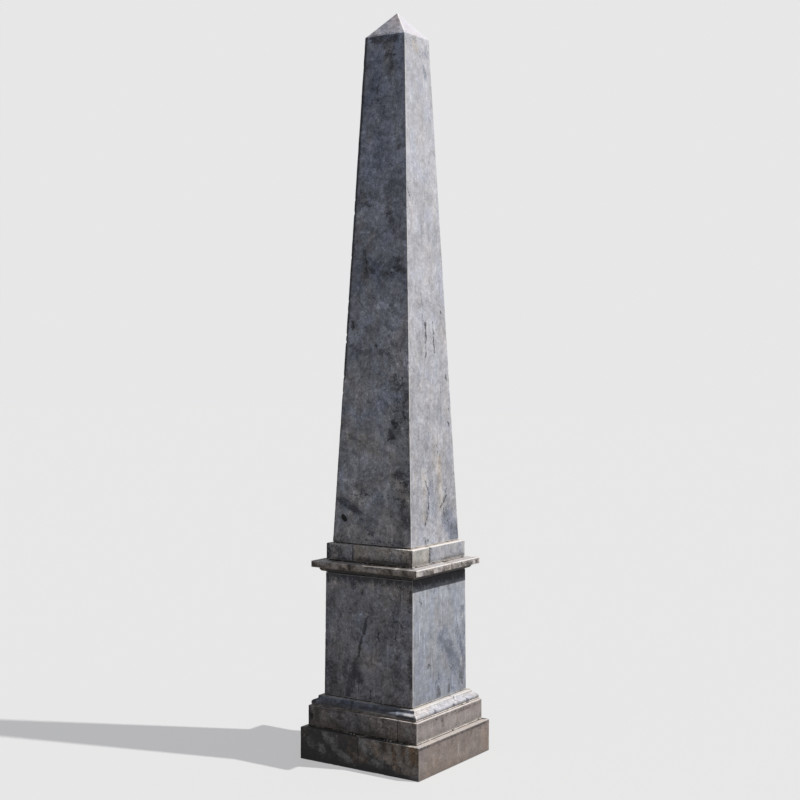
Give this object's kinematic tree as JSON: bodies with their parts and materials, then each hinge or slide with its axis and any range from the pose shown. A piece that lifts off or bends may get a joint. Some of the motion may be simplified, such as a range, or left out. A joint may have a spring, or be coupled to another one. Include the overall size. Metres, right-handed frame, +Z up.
{
  "type": "obelisk",
  "caption": "Small garden obelisk of dark limestone: tapered square shaft with a pyramid tip on a collar, cap, die, moulded base and stepped plinth.",
  "frame": {"origin": "ground level, in the middle of the square plinth", "axes": "+Z up along the shaft, -Y is the front, +X is the right-hand side; the picture looks at the corner between front and right"},
  "size_m": [0.49, 0.49, 2.634],
  "materials": {
    "stone": "weathered blue-grey limestone, rubbed smooth once, now streaked and stained",
    "core": "rough core stone hidden inside the collar",
    "mortar": "nearly flush, crumbling lime mortar"
  },
  "bodies": {
    "root": {"plinth_left": "stone", "plinth_right": "stone", "base_block_wide": "stone", "base_block_closer": "stone", "base_moulding_front_left": "stone", "base_moulding_front_right": "stone", "base_moulding_back_left": "stone", "base_moulding_back_right": "stone", "die": "stone", "cap_front_left": "stone", "cap_front_right": "stone", "cap_back_left": "stone", "cap_back_right": "stone", "collar_front": "stone", "collar_right": "stone", "collar_back": "stone", "collar_left": "stone", "shaft": "stone", "collar_core": "core", "mortar_on_plinth": "mortar", "mortar_on_base_block": "mortar", "mortar_on_base_moulding": "mortar", "mortar_on_die": "mortar", "mortar_on_cap": "mortar", "mortar_on_collar": "mortar"}
  },
  "joints": []
}
